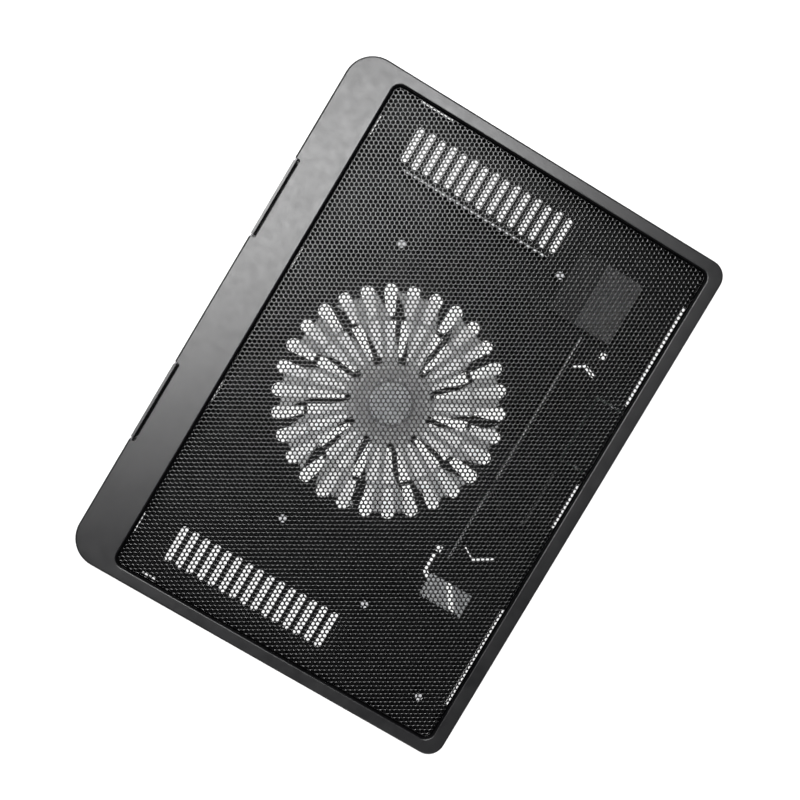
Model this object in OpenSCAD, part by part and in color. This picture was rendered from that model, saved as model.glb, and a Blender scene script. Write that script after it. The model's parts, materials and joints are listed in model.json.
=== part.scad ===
// Laptop cooling pad: a moulded tray with one large fan under a perforated steel sheet.
// Frame: +X to the right, +Y to the back, +Z up, origin under the middle at the surface it stands on.

/* [Pad] */
// Width, left to right
pad_w = 350; // [348:1:356]
// Depth, front to back
pad_d = 260; // [259:1:262]
// Total height, from the rubber feet to the top of the frame
pad_h = 26; // [26:0.5:28]
// Radius of the two front corners
front_corner_r = 18.5; // [14:0.5:20]
// Radius of the two back corners
back_corner_r = 10.5; // [9:0.5:14]

/* [Top frame] */
// Width of the frame at the sides
rail_w = 8; // [7.8:0.1:8.4]
// Width of the frame at the back
back_rail_w = 9; // [8.8:0.1:9.4]
// Width of the flat strip along the front
strip_w = 28.6; // [28.4:0.1:28.8]
// Corner radius of the opening
opening_r = 6; // [4:0.5:8]

/* [Steel sheet] */
// Thickness of the perforated sheet
sheet_t = 0.8; // [0.6:0.1:1]
// Width of the groove between the sheet and the frame
groove_w = 1.7; // [1.4:0.1:1.8]
// How far the sheet's rim reaches down
fold_h = 3.2; // [2.8:0.1:3.2]

/* [Fan] */
// Number of fan blades
blades = 11; // [7:1:13]
// Radius of the blade tips
tip_r = 68; // [60:1:70]
// Number of radial bars in the fan grille
grille_bars = 30; // [24:2:30]

/* [Stoppers] */
// Length of each flip-up stopper
stopper_len = 50.2; // [48:0.2:53]
// How far a raised stopper stands above the frame
stopper_rise = 14.2; // [10:0.2:15]

/* [Hidden] */

$fn = 48;
hull_fn = 32;
cut = 1;
gap = 0.3;

// Heights
foot_h = 2;
floor_t = 2.2;
floor_z = foot_h + floor_t;
parting_z = 14;
frame_t = 1.6;
sheet_top = pad_h - frame_t;
sheet_z = sheet_top - sheet_t;
wall = 2;
shell_inset = 3;

// Opening of the top frame
open_x = pad_w / 2 - rail_w;
open_front = -pad_d / 2 + strip_w;
open_back = pad_d / 2 - back_rail_w;
lip_t = 1.6;
lip_round = [[1, 0], [0.55, 0.35], [0.2, 0.9]];

// Rim of the sheet: down in two steps, then out under the frame's lip
flange_w = 3.2;
flange_z = sheet_top - fold_h;
lip_z = flange_z + sheet_t;
rim_post_r = 1.6;
rim_posts_x = [-155, 45, 155];
rim_posts_front_x = [-92, 0, 92];
rim_posts_y = [-40, 20, 80];

// Fan grille
fan_y = -5.5;
grille_r = 73.2;
ring_in_r = 50.8;
ring_out_r = 53.2;
disc_r = 28;
outer_bar_w = 6;
inner_bar_w = 3.2;
slot_round_r = 3;

// Motor
base_r = 22;
base_t = 2;
holder_r = 4.5;
sleeve_r = 3;
sleeve_low = floor_z + 2.8;
sleeve_top = sleeve_low + 7.6;
shaft_r = 1.5;
bearing_gap = 0.05;
board_z = floor_z + base_t + 0.2;
board_t = 1;
board_r = 13.5;
stator_z = board_z + board_t + 1.8;
stator_t = 3;
stator_r = 12.5;
pole_count = 4;
pole_w = 3.4;
magnet_r = 13.2;
yoke_in_r = 15;
yoke_r = 16;
yoke_low = board_z + board_t + 0.4;
hub_r = 24.5;
hub_t = 1.6;
hub_top = sleeve_top + 3;
hub_low = floor_z + 3;
cap_r = 13;
fan_screw_r = 1.2;
fan_screw_ring = 17.5;

// Blades
blade_low = floor_z + 2.4;
blade_sweep = 19;
rotor_rest = 13.5;
blade_span = 22.5;
blade_tilt = 16;
blade_t = 1.4;
blade_steps = 8;

// Side vents
vent_count = 15;
vent_pitch = 7.65;
vent_y0 = -73.6;
vent_in = 130;
vent_out = 155;
vent_w = 4.5;
vent_rib_x = -124.6;
vent_rib_y0 = -71;
vent_rib_y1 = 31;

// Stoppers
stopper_x = 70.5;
notch_len = 54;
notch_d = 3.8;
stopper_t = 2.3;
stopper_pin_r = 0.6;
stopper_gap = 0.06;
stopper_axis_y = -pad_d / 2 + stopper_t / 2;
stopper_axis_z = pad_h - 1.8;
stopper_low = stopper_axis_z - stopper_rise - 1.8;
stopper_top = pad_h - 0.05;
stopper_slope_h = 1.2;
stopper_slope_d = 0.8;
block_wall = 3;
block_back = 2.3;
block_low = stopper_low - 0.8;

// Flip-out feet
pocket_in = 99.5;
pocket_out = 141;
pocket_y0 = 47.7;
pocket_y1 = 92.4;
pocket_top = 14;
pocket_wall = 1.5;
foot_axis_y = 87.2;
foot_axis_z = 6.6;
foot_pin_r = 1.5;
foot_barrel_r = 3;
foot_end_y = 58.6;
foot_tip_t = 3;
foot_low = foot_axis_z - 2.2;
foot_t = 3.6;
foot_side_gap = 0.4;

// Cable trough on the underside
trough_x0 = -76;
trough_x1 = 50;
trough_y0 = 77.5;
trough_y1 = 94.5;
trough_top = 12;
rib_y = 73.5;
rib_x0 = -94;
rib_x1 = 64;
rib_top = 21;
rib_t = 1.2;

// Openings in the tray floor beside the trough, one of them filled with two panes
window_x = 86;
window_y = 86.8;
window_w = 15;
window_d = 30;
window_slot_w = 3.6;
window_angle = 35;
window_slot_x = 87.4;
window_slot_y = 91;
window_front_rise = 5;
window_back_rise = 3.4;
pane_low = foot_h + 0.2;
left_eye = [-94.4, 92.7, 4.1, 4.6];
right_eye = [61, 65.9, 4.2, 4.4];
left_chevron = [[-78.5, 95.6], [-81.3, 88.6], [-77.3, 82.2]];
right_chevron = [[51.9, 101], [58.8, 89.8], [54.1, 82.4]];
left_chevron_w = [2.6, 1.6];
right_chevron_w = [1.6, 1];
tail_path = [[68, 67.8], [79.2, 68], [82.6, 72.4]];
tail_w = 2.8;

// Board with the two sockets at the back
board_x = -46;
board_w = 46;
board_y0 = 104;
board_y1 = 122;
socket_x = 12;
socket_w = 13.2;
socket_h = 6.4;
socket_d = 17;
socket_wall = 0.4;
usb_board_z = 7.2;
usb_board_t = 1.6;
socket_z = usb_board_z + usb_board_t;
cover_inset = 2;
cover_z = socket_z + socket_h + 0.4;
cover_t = 1.2;
cover_d = 22;
cover_leg_y = 108;
cover_leg_d = 4;
tongue_w = 11;
tongue_t = 1.8;
board_screw_x = 21;
board_screw_y = 116;
board_screw_r = 0.98;
board_post_r = 2.6;
socket_back = pad_d / 2 - 0.4;
socket_block_d = 4;

// Screws that hold the frame to the tray, along the front strip
screw_places = [[-120, -114], [-20, -114], [20, -114], [120, -114]];
screw_r = 1.3;
boss_r = 3.4;
boss_h = 6;
screw_head_r = 2.6;
screw_head_t = 1.6;
screw_len = 14;

// Hooks of the frame along the front, and the slots they reach into
hook_x = [-141.6, -47.7, 47.7, 141.6];
hook_y = -104.9;
hook_w = 10;
hook_slot_w = 14;
hook_slot_d = 6.2;

// Slits along the back wall and at the front of the side walls
back_slits = [[-145, -73], [-16, 16], [75.5, 146.5]];
back_slit_y = 123.3;
back_slit_w = 2.8;
side_slit_x = 168.2;

// Posts under the sheet
post_places = [[-119, 42.5], [113.5, 43], [93, -26.5], [-86, -49.5], [146, 101.6]];
post_r = 2.4;

// Rubber feet
pad_places = [[-154, -114], [154, -114], [-156, 104], [156, 104]];
pad_r = 8;

// Lead from the motor to the board, laid along a grille bar and over the trough
lead_r = 0.7;
lead_angle = 84;
lead_z = floor_z + lead_r + 0.05;
lead_over_z = 13.6;
lead_over_x = 12;
lead_notch_w = 4;
lead_pitch = 0.75;

// ---------- outlines ----------

// Rounded rectangle between two corners
module rounded_rect(x0, y0, x1, y1, r) {
    translate([x0 + r, y0]) square([x1 - x0 - 2 * r, y1 - y0]);
    translate([x0, y0 + r]) square([x1 - x0, y1 - y0 - 2 * r]);
    for (x = [x0 + r, x1 - r], y = [y0 + r, y1 - r]) translate([x, y]) circle(r);
}

// The pad's outline drawn in by an inset, with larger corners at the front
module pad_outline(inset) {
    w = pad_w - 2 * inset;
    d = pad_d - 2 * inset;
    rf = front_corner_r - inset;
    rb = back_corner_r - inset;
    translate([-w / 2 + rf, -d / 2]) square([w - 2 * rf, d / 2]);
    translate([-w / 2, -d / 2 + rf]) square([w, d - rf - rb]);
    translate([-w / 2 + rb, 0]) square([w - 2 * rb, d / 2]);
    for (s = [-1, 1]) {
        translate([s * (w / 2 - rf), -d / 2 + rf]) circle(rf);
        translate([s * (w / 2 - rb), d / 2 - rb]) circle(rb);
    }
}

module pad_slab(inset, z0, z1) {
    translate([0, 0, z0]) linear_extrude(z1 - z0) pad_outline(inset);
}

// Slot with round ends along X
module slot_x(x0, x1, w) {
    translate([x0 + w / 2, -w / 2]) square([x1 - x0 - w, w]);
    for (x = [x0 + w / 2, x1 - w / 2]) translate([x, 0]) circle(w / 2);
}

module rod_x(x0, x1, y, z, r) {
    translate([x0, y, z]) rotate([0, 90, 0]) cylinder(r = r, h = x1 - x0);
}

module at_fan(z) {
    translate([0, fan_y, z]) children();
}

module tube(r_out, r_in, h) {
    difference() {
        cylinder(r = r_out, h = h);
        translate([0, 0, -cut]) cylinder(r = r_in, h = h + 2 * cut);
    }
}

// Thin tube swept along a list of points that never runs straight up
function unit(v) = v / norm(v);
function heading(path, i) = unit(path[min(i + 1, len(path) - 1)] - path[max(i - 1, 0)]);
function ring_at(path, i, r, sides) =
    let (t = heading(path, i), across = unit(cross(t, [0, 0, 1])), up = cross(across, t))
        [for (k = [0:sides - 1]) path[i] + r * (cos(k * 360 / sides) * across + sin(k * 360 / sides) * up)];

module swept_tube(path, r, sides) {
    n = len(path);
    points = [for (i = [0:n - 1]) each ring_at(path, i, r, sides)];
    sides_faces = [for (i = [0:n - 2], k = [0:sides - 1]) let (k1 = (k + 1) % sides)
        [i * sides + k, i * sides + k1, (i + 1) * sides + k1, (i + 1) * sides + k]];
    caps = [[for (k = [sides - 1:-1:0]) k], [for (k = [0:sides - 1]) (n - 1) * sides + k]];
    polyhedron(points, concat(sides_faces, caps));
}

// ---------- tray ----------

// One wedge of the grille between two neighbouring bars, from r0 to r1
module grille_slot(r0, r1, bar_w) {
    half = 180 / grille_bars;
    inset = bar_w / 2 / sin(half);
    intersection() {
        difference() {
            circle(r1, $fn = 96);
            circle(r0, $fn = 96);
        }
        rotate(half) translate([inset, 0]) polygon([[0, 0], [r1 * cos(half), r1 * sin(half)],
            [r1 * 1.1, 0], [r1 * cos(half), -r1 * sin(half)]]);
    }
}

// Outer slots end in a round
module outer_slot() {
    half = 180 / grille_bars;
    mid_r = grille_r - slot_round_r - 0.9;
    side = mid_r * sin(half) - outer_bar_w / 2;
    grille_slot(ring_out_r, mid_r, outer_bar_w);
    rotate(half) translate([mid_r * cos(half) - 0.1, 0]) intersection() {
        circle(side);
        translate([0, -side]) square([side, 2 * side]);
    }
}

module fan_grille() {
    for (i = [0:grille_bars - 1]) rotate(i * 360 / grille_bars) {
        grille_slot(disc_r, ring_in_r, inner_bar_w);
        outer_slot();
    }
}

module side_vents() {
    for (s = [-1, 1], i = [0:vent_count - 1])
        translate([s < 0 ? -vent_in - vent_out : 0, vent_y0 + i * vent_pitch])
            slot_x(vent_in, vent_out, vent_w);
}

// Narrow see-through slits along the back wall, and slots for the frame's hooks along the front
module edge_slits() {
    for (x = back_slits)
        translate([0, back_slit_y]) slot_x(x[0], x[1], back_slit_w);
    for (x = hook_x) translate([x - hook_slot_w / 2, hook_y - 0.5]) square([hook_slot_w, hook_slot_d]);
    translate([-side_slit_x - 0.8, -83]) square([1.6, 22.6]);
    translate([side_slit_x - 0.8, -83]) square([1.6, 9]);
}

// Slot with round ends from point a to point b
module slot_between(a, b, w) {
    translate(a) rotate(atan2(b.y - a.y, b.x - a.x)) slot_x(-w / 2, norm(b - a) + w / 2, w);
}

// Bent slit through three points, with a width for each half
module chevron(p, w) {
    slot_between(p[0], p[1], w[0]);
    slot_between(p[1], p[2], w[1]);
}

// Bent slits at the ends of the trough, small square holes beside them, the hooked slot and the window
module floor_openings() {
    chevron(left_chevron, left_chevron_w);
    chevron(right_chevron, right_chevron_w);
    for (e = [left_eye, right_eye]) translate([e[0], e[1]]) square([e[2], e[3]]);
    slot_between(tail_path[0], tail_path[1], tail_w);
    slot_between(tail_path[1], tail_path[2], tail_w);
    translate([window_x - window_w / 2, window_y - window_d / 2]) square([window_w, window_d]);
}

// Pane that rises to the right in the window, on the front (-1) or the back (1) side of its slot
module window_pane(side, rise) {
    intersection() {
        translate([window_x - window_w / 2, window_y + window_d / 2, pane_low]) rotate([90, 0, 0])
            linear_extrude(window_d) polygon([[0, 0], [0, floor_z - pane_low],
                [window_w, floor_z - pane_low + rise], [window_w, 0]]);
        translate([window_slot_x, window_slot_y, 0]) rotate(window_angle)
            translate([-window_d, side > 0 ? window_slot_w / 2 : -2 * window_d - window_slot_w / 2, 0])
                cube([2 * window_d, 2 * window_d, pad_h]);
    }
}

module window_panes() {
    color([0.8, 0.82, 0.84, 0.6]) {
        window_pane(-1, window_front_rise);
        window_pane(1, window_back_rise);
    }
}

// Box open downwards that rises from the tray floor
module raised_box(x0, y0, x1, y1, top) {
    translate([x0, y0, foot_h]) cube([x1 - x0, y1 - y0, top - foot_h]);
}

module foot_pocket_walls(s) {
    x0 = s > 0 ? pocket_in : -pocket_out;
    raised_box(x0, pocket_y0, x0 + pocket_out - pocket_in, pocket_y1, pocket_top);
}

module foot_pocket_hollow(s) {
    x0 = s > 0 ? pocket_in : -pocket_out;
    translate([x0 + pocket_wall, pocket_y0 + pocket_wall, foot_h - cut])
        cube([pocket_out - pocket_in - 2 * pocket_wall, pocket_y1 - pocket_y0 - 2 * pocket_wall,
            pocket_top - pocket_wall - foot_h + cut]);
}

module trough_hollow() {
    translate([trough_x0 + pocket_wall, trough_y0 + pocket_wall, foot_h - cut])
        cube([trough_x1 - trough_x0 - 2 * pocket_wall, trough_y1 - trough_y0 - 2 * pocket_wall,
            trough_top - pocket_wall - foot_h + cut]);
}

// Space in the tray's front wall for the frame's stopper blocks
module stopper_block_space(s, extra) {
    half = notch_len / 2 + block_wall + extra;
    translate([s * stopper_x - half, -pad_d / 2 - cut, block_low - extra])
        cube([2 * half, notch_d + block_back + extra + cut, pad_h]);
}

// Openings for the two sockets, through the tray and the frame
module socket_windows() {
    for (s = [-1, 1])
        translate([board_x + s * socket_x - socket_w / 2 - gap, pad_d / 2 - 6, socket_z - gap])
            cube([socket_w + 2 * gap, 6 + cut, socket_h + 2 * gap]);
}

// Round post that rises from the tray floor
module floor_post(p, r, top) {
    translate([p.x, p.y, floor_z - cut]) cylinder(r = r, h = top - floor_z + cut);
}

// Posts under the sheet's flange
module rim_posts() {
    mid = flange_w - rim_post_r;
    places = concat([for (x = rim_posts_x) [x, open_back - groove_w + mid]],
        [for (x = rim_posts_front_x) [x, open_front + groove_w - mid]],
        [for (s = [-1, 1], y = rim_posts_y) [s * (open_x - groove_w + mid), y]]);
    for (p = places) floor_post(p, rim_post_r, flange_z);
}

module bottom_shell() {
    color([0.07, 0.07, 0.075]) difference() {
        union() {
            difference() {
                hull() {
                    pad_slab(shell_inset, foot_h, foot_h + 0.1, $fn = hull_fn);
                    pad_slab(0.9, foot_h + 3, foot_h + 3.1, $fn = hull_fn);
                    pad_slab(0.2, parting_z - 0.1, parting_z, $fn = hull_fn);
                }
                pad_slab(shell_inset + wall - 0.6, floor_z, parting_z + cut);
            }
            difference() {
                pad_slab(wall + 0.2, parting_z - 2, parting_z + 3);
                pad_slab(wall + 1.6, parting_z - 2 - cut, parting_z + 3 + cut);
            }
            difference() {
                pad_slab(shell_inset - 1, floor_z, parting_z - 1);
                pad_slab(shell_inset + wall - 0.6, floor_z - cut, parting_z);
            }
            for (s = [-1, 1]) foot_pocket_walls(s);
            raised_box(trough_x0, trough_y0, trough_x1, trough_y1, trough_top);
            translate([rib_x0, rib_y - rib_t / 2, floor_z - cut])
                cube([rib_x1 - rib_x0, rib_t, rib_top - floor_z + cut]);
            translate([vent_rib_x - rib_t / 2, vent_rib_y0, floor_z - cut])
                cube([rib_t, vent_rib_y1 - vent_rib_y0, rib_top - floor_z + cut]);
            for (p = post_places) floor_post(p, post_r, sheet_z);
            for (p = screw_places) translate([p.x, p.y, foot_h]) cylinder(r = boss_r, h = boss_h);
            for (s = [-1, 1])
                floor_post([board_x + s * board_screw_x, board_screw_y], board_post_r, usb_board_z);
            rim_posts();
        }
        translate([0, 0, foot_h - cut]) linear_extrude(pad_h) {
            side_vents();
            edge_slits();
            floor_openings();
        }
        translate([0, fan_y, foot_h - cut]) linear_extrude(floor_t + 2 * cut) fan_grille();
        for (s = [-1, 1]) {
            foot_pocket_hollow(s);
            stopper_block_space(s, gap);
            rod_x(s > 0 ? pocket_in - cut : -pocket_out - cut, s > 0 ? pocket_out + cut : cut - pocket_in,
                foot_axis_y, foot_axis_z, foot_pin_r);
            at_board_screw(s, floor_z) cylinder(r = board_screw_r + 0.02, h = boss_h);
        }
        trough_hollow();
        socket_windows();
        for (p = screw_places) translate([p.x, p.y, 0]) {
            cylinder(r = screw_r + 0.2, h = 12);
            cylinder(r = screw_head_r + 0.3, h = foot_h + screw_head_t + 0.2);
        }
        for (p = pad_places) translate([p.x, p.y, foot_h - cut]) cylinder(r = pad_r + 0.1, h = cut + 0.8);
        for (a = [0, 120, 240]) at_fan(0) rotate(a) translate([fan_screw_ring, 0, 0]) {
            cylinder(r = fan_screw_r + 0.2, h = 10);
            cylinder(r = 2.5, h = foot_h + 1);
        }
        translate([lead_over_x - 3, rib_y - 2, lead_over_z - 4]) cube([6, 4, 14]);
    }
}

// ---------- top frame and sheet ----------

module stopper_block(s) {
    half = notch_len / 2 + block_wall;
    translate([s * stopper_x - half, -pad_d / 2, block_low])
        cube([2 * half, notch_d + block_back, sheet_top - block_low + 0.4]);
}

module stopper_notch(s) {
    translate([s * stopper_x - notch_len / 2, -pad_d / 2 - cut, block_low - cut])
        cube([notch_len, notch_d + cut, pad_h]);
}

// Hook that hangs from the frame into a slot of the tray
module frame_hook(x) {
    translate([x - hook_w / 2, hook_y, foot_h + 0.4]) cube([hook_w, 1.3, sheet_top - foot_h]);
    translate([x - hook_w / 2, hook_y, foot_h + 0.4]) cube([hook_w, 2.1, 1.2]);
}

// The frame's opening, grown by an amount
module opening_outline(grow) {
    rounded_rect(-open_x - grow, open_front - grow, open_x + grow, open_back + grow, opening_r + grow);
}

module top_frame() {
    color([0.09, 0.09, 0.095]) difference() {
        union() {
            difference() {
                union() {
                    pad_slab(0, parting_z, pad_h - 1);
                    pad_slab(0.35, pad_h - 1, pad_h - 0.4);
                    pad_slab(0.9, pad_h - 0.4, pad_h);
                }
                pad_slab(wall, parting_z - cut, sheet_top);
            }
            for (p = screw_places) translate([p.x, p.y, foot_h + boss_h + 0.1])
                cylinder(r = boss_r, h = sheet_top - foot_h - boss_h);
            for (s = [-1, 1]) stopper_block(s);
            for (x = hook_x) frame_hook(x);
            translate([0, 0, lip_z]) linear_extrude(sheet_top - lip_z + 0.2) opening_outline(lip_t);
            translate([-pad_w / 2 + 12, open_front - 5.2, sheet_top - 4]) cube([pad_w - 24, 1.2, 4.2]);
        }
        translate([0, 0, -cut]) linear_extrude(pad_h + 2 * cut) opening_outline(0);
        for (step = lip_round)
            translate([0, 0, pad_h - step[0]]) linear_extrude(pad_h) opening_outline(step[1]);
        for (s = [-1, 1]) {
            stopper_notch(s);
            rod_x(s * stopper_x - notch_len / 2 - 2.4, s * stopper_x + notch_len / 2 + 2.4,
                stopper_axis_y, stopper_axis_z, stopper_pin_r);
        }
        for (p = screw_places) translate([p.x, p.y, 0]) cylinder(r = screw_r - 0.2, h = pad_h - 6);
        socket_windows();
    }
}

module outline_ring(grow_in, grow_out, z0, z1) {
    translate([0, 0, z0]) linear_extrude(z1 - z0) difference() {
        opening_outline(grow_out);
        opening_outline(grow_in);
    }
}

// Flat top whose edge steps down in the groove to a flange under the frame's lip
module mesh_sheet() {
    edge = -groove_w;
    color([0.05, 0.05, 0.055]) union() {
        translate([0, 0, sheet_z]) linear_extrude(sheet_t) opening_outline(edge);
        outline_ring(edge - 0.4, edge + 0.6, sheet_top - 2, sheet_top - 0.5);
        outline_ring(edge + 0.1, edge + 1.2, flange_z, sheet_top - 1.5);
        outline_ring(edge + 0.6, edge + flange_w, flange_z, lip_z);
    }
}

module case_screws() {
    color([0.55, 0.55, 0.57]) for (p = screw_places) translate([p.x, p.y, foot_h + 0.1]) difference() {
        union() {
            cylinder(r = screw_head_r, h = screw_head_t);
            cylinder(r = screw_r - 0.2, h = screw_len);
        }
        for (a = [0, 90]) rotate(a) translate([-1.5, -0.3, -cut]) cube([3, 0.6, cut + 0.8]);
    }
}

module rubber_feet() {
    color([0.12, 0.12, 0.12]) for (p = pad_places) translate([p.x, p.y, 0]) {
        cylinder(r = pad_r - 0.6, h = 0.5);
        translate([0, 0, 0.5]) cylinder(r = pad_r, h = foot_h + 0.3);
    }
}

// ---------- stoppers ----------

module stopper(s) {
    color([0.09, 0.09, 0.095]) difference() {
        translate([s * stopper_x - stopper_len / 2, -pad_d / 2, 0]) rotate([90, 0, 90])
            linear_extrude(stopper_len) polygon([[0, stopper_low], [stopper_t, stopper_low],
                [stopper_t, stopper_top - stopper_slope_h], [stopper_t - stopper_slope_d, stopper_top],
                [0, stopper_top]]);
        rod_x(s * stopper_x - stopper_len, s * stopper_x + stopper_len, stopper_axis_y, stopper_axis_z,
            stopper_pin_r + stopper_gap);
        translate([s * stopper_x - 9, -pad_d / 2 - cut, stopper_low - cut]) cube([18, cut + 0.8, cut + 3]);
    }
}

module stopper_pin(s) {
    color([0.7, 0.7, 0.72]) rod_x(s * stopper_x - notch_len / 2 - 2.4, s * stopper_x + notch_len / 2 + 2.4,
        stopper_axis_y, stopper_axis_z, stopper_pin_r);
}

module stopper_left() { stopper(-1); }
module stopper_right() { stopper(1); }
module stopper_pin_left() { stopper_pin(-1); }
module stopper_pin_right() { stopper_pin(1); }

// ---------- flip-out feet ----------

module foot(s) {
    x0 = (s > 0 ? pocket_in : -pocket_out) + pocket_wall + foot_side_gap;
    w = pocket_out - pocket_in - 2 * pocket_wall - 2 * foot_side_gap;
    color([0.09, 0.09, 0.095]) difference() {
        union() {
            translate([x0, foot_end_y, foot_low]) cube([w, foot_axis_y - foot_end_y, foot_t]);
            rod_x(x0, x0 + w, foot_axis_y, foot_axis_z, foot_barrel_r);
        }
        rod_x(x0 - cut, x0 + w + cut, foot_axis_y, foot_axis_z, foot_pin_r + bearing_gap);
        for (i = [0:2]) translate([x0 + 6 + i * 9, foot_end_y + 6, foot_low - cut]) cube([7, 14, cut + 1.4]);
    }
}

module foot_tip(s) {
    mid = s * (pocket_in + pocket_out) / 2;
    color([0.14, 0.14, 0.14]) translate([mid - 16, foot_end_y - foot_tip_t, foot_low]) {
        translate([0, 0.8, 0]) cube([32, foot_tip_t - 0.8, foot_t]);
        for (i = [0:4]) translate([1 + i * 6.4, 0, 0.3]) cube([4.4, 0.9, foot_t - 0.6]);
    }
}

module foot_pin(s) {
    color([0.7, 0.7, 0.72]) rod_x(s > 0 ? pocket_in : -pocket_out, s > 0 ? pocket_out : -pocket_in,
        foot_axis_y, foot_axis_z, foot_pin_r);
}

module foot_left() { foot(-1); }
module foot_right() { foot(1); }
module foot_tip_left() { foot_tip(-1); }
module foot_tip_right() { foot_tip(1); }
module foot_pin_left() { foot_pin(-1); }
module foot_pin_right() { foot_pin(1); }

// ---------- fan ----------

module fan_base() {
    color([0.12, 0.12, 0.12]) difference() {
        union() {
            at_fan(floor_z) cylinder(r = base_r, h = base_t);
            at_fan(floor_z) cylinder(r = holder_r, h = sleeve_top - floor_z);
        }
        at_fan(floor_z + 0.6) cylinder(r = sleeve_r, h = pad_h);
        for (a = [0, 120, 240]) at_fan(floor_z - cut) rotate(a) translate([fan_screw_ring, 0, 0])
            cylinder(r = fan_screw_r, h = base_t + 2 * cut);
        at_fan(floor_z - cut) rotate(lead_angle) translate([board_r - 1, -lead_notch_w / 2, 0])
            cube([base_r, lead_notch_w, base_t + 2 * cut]);
    }
}

module fan_screws() {
    color([0.55, 0.55, 0.57]) for (a = [0, 120, 240]) at_fan(foot_h + 0.1) rotate(a)
        translate([fan_screw_ring, 0, 0]) {
            cylinder(r = 2.2, h = 0.9);
            cylinder(r = fan_screw_r, h = floor_t + base_t - 0.2);
        }
}

module bearing_sleeve() {
    color([0.72, 0.55, 0.3]) at_fan(sleeve_low)
        tube(sleeve_r, shaft_r + bearing_gap, sleeve_top - sleeve_low);
}

module stator_core() {
    color([0.5, 0.5, 0.52]) at_fan(stator_z) difference() {
        union() {
            cylinder(r = holder_r + 2, h = stator_t);
            for (i = [0:pole_count - 1]) rotate(i * 360 / pole_count) {
                translate([0, -pole_w / 2, 0]) cube([stator_r - 1, pole_w, stator_t]);
                intersection() {
                    tube(stator_r, stator_r - 1.8, stator_t);
                    translate([0, -7, 0]) cube([stator_r, 14, stator_t]);
                }
            }
        }
        translate([0, 0, -cut]) cylinder(r = holder_r, h = stator_t + 2 * cut);
    }
}

module stator_windings() {
    inner = holder_r + 2.4;
    len = stator_r - 2.9 - inner;
    color([0.75, 0.38, 0.15]) at_fan(stator_z) for (i = [0:pole_count - 1]) rotate(i * 360 / pole_count)
        translate([inner, 0, stator_t / 2]) rotate([0, 90, 0]) difference() {
            linear_extrude(len) rounded_rect(-stator_t / 2 - 1.5, -pole_w / 2 - 1.7, stator_t / 2 + 1.5,
                pole_w / 2 + 1.7, 1.4);
            translate([-stator_t / 2, -pole_w / 2, -cut]) cube([stator_t, pole_w, len + 2 * cut]);
        }
}

module fan_board() {
    color([0.1, 0.35, 0.18]) at_fan(board_z) tube(board_r, holder_r + 0.2, board_t);
}

// Blade outline: an annular sector whose angle runs on with the radius
function blade_angle(r) = blade_sweep * (r - hub_r) / (tip_r - hub_r);
function blade_edge(offset, from, to) = [for (i = [0:blade_steps])
    let (r = from + (to - from) * i / blade_steps, a = blade_angle(r) + offset)
        [r * cos(a), r * sin(a)]];

module blade() {
    root_r = hub_r - 1.2;
    outline = concat(blade_edge(-blade_span / 2, root_r, tip_r), blade_edge(blade_span / 2, tip_r, root_r));
    mid = (blade_low + hub_top) / 2;
    intersection() {
        translate([0, 0, blade_low]) linear_extrude(hub_top - blade_low) polygon(outline);
        translate([0, 0, mid]) rotate(blade_sweep * 0.62) rotate([blade_tilt, 0, 0])
            translate([0, -60, -blade_t / 2]) cube([90, 120, blade_t]);
    }
}

module fan_rotor() {
    color([0.75, 0.77, 0.8, 0.5]) at_fan(0) difference() {
        union() {
            translate([0, 0, hub_low]) cylinder(r = hub_r, h = hub_top - hub_low);
            for (i = [0:blades - 1]) rotate(rotor_rest + i * 360 / blades) blade();
        }
        translate([0, 0, hub_low - cut]) difference() {
            cylinder(r = hub_r - 1.8, h = hub_top - hub_t - hub_low + cut);
            translate([0, 0, sleeve_top + 0.4 - hub_low + cut]) cylinder(r = 4, h = pad_h);
        }
        cylinder(r = shaft_r, h = hub_top - 0.4);
    }
}

module fan_shaft() {
    color([0.75, 0.75, 0.77]) at_fan(floor_z + 1) cylinder(r = shaft_r, h = hub_top - 0.4 - floor_z - 1);
}

module magnet_ring() {
    color([0.25, 0.25, 0.26]) at_fan(yoke_low + 0.4) tube(yoke_in_r, magnet_r, 6.4);
}

module rotor_yoke() {
    color([0.6, 0.6, 0.62]) at_fan(yoke_low) difference() {
        cylinder(r = yoke_r, h = hub_top - hub_t - yoke_low);
        translate([0, 0, -cut]) cylinder(r = yoke_in_r, h = hub_top - hub_t - 0.8 - yoke_low + cut);
        cylinder(r = 4.2, h = pad_h);
    }
}

module shaft_clip() {
    color([0.3, 0.3, 0.3]) at_fan(sleeve_low - 0.8) tube(sleeve_r - 0.4, shaft_r, 0.4);
}

module hub_cap() {
    color([0.45, 0.46, 0.48]) at_fan(hub_top) cylinder(r = cap_r, h = 0.2);
}

// ---------- board and sockets ----------

module at_board_screw(s, z) {
    translate([board_x + s * board_screw_x, board_screw_y, z]) children();
}

module usb_board() {
    color([0.1, 0.35, 0.18]) difference() {
        translate([board_x - board_w / 2, board_y0, usb_board_z])
            cube([board_w, board_y1 - board_y0, usb_board_t]);
        for (s = [-1, 1]) at_board_screw(s, usb_board_z - cut)
            cylinder(r = board_screw_r + 0.12, h = usb_board_t + 2 * cut);
    }
}

module board_screws() {
    color([0.7, 0.7, 0.72]) for (s = [-1, 1]) {
        at_board_screw(s, floor_z + 0.2) cylinder(r = board_screw_r, h = usb_board_z + usb_board_t - floor_z);
        at_board_screw(s, usb_board_z + usb_board_t) cylinder(r = 1.8, h = 1.1);
    }
}

module usb_socket(s) {
    color([0.78, 0.78, 0.8])
        translate([board_x + s * socket_x - socket_w / 2, socket_back - socket_d, socket_z]) difference() {
            cube([socket_w, socket_d, socket_h]);
            translate([socket_wall, socket_block_d, socket_wall])
                cube([socket_w - 2 * socket_wall, socket_d, socket_h - 2 * socket_wall]);
        }
}

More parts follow.
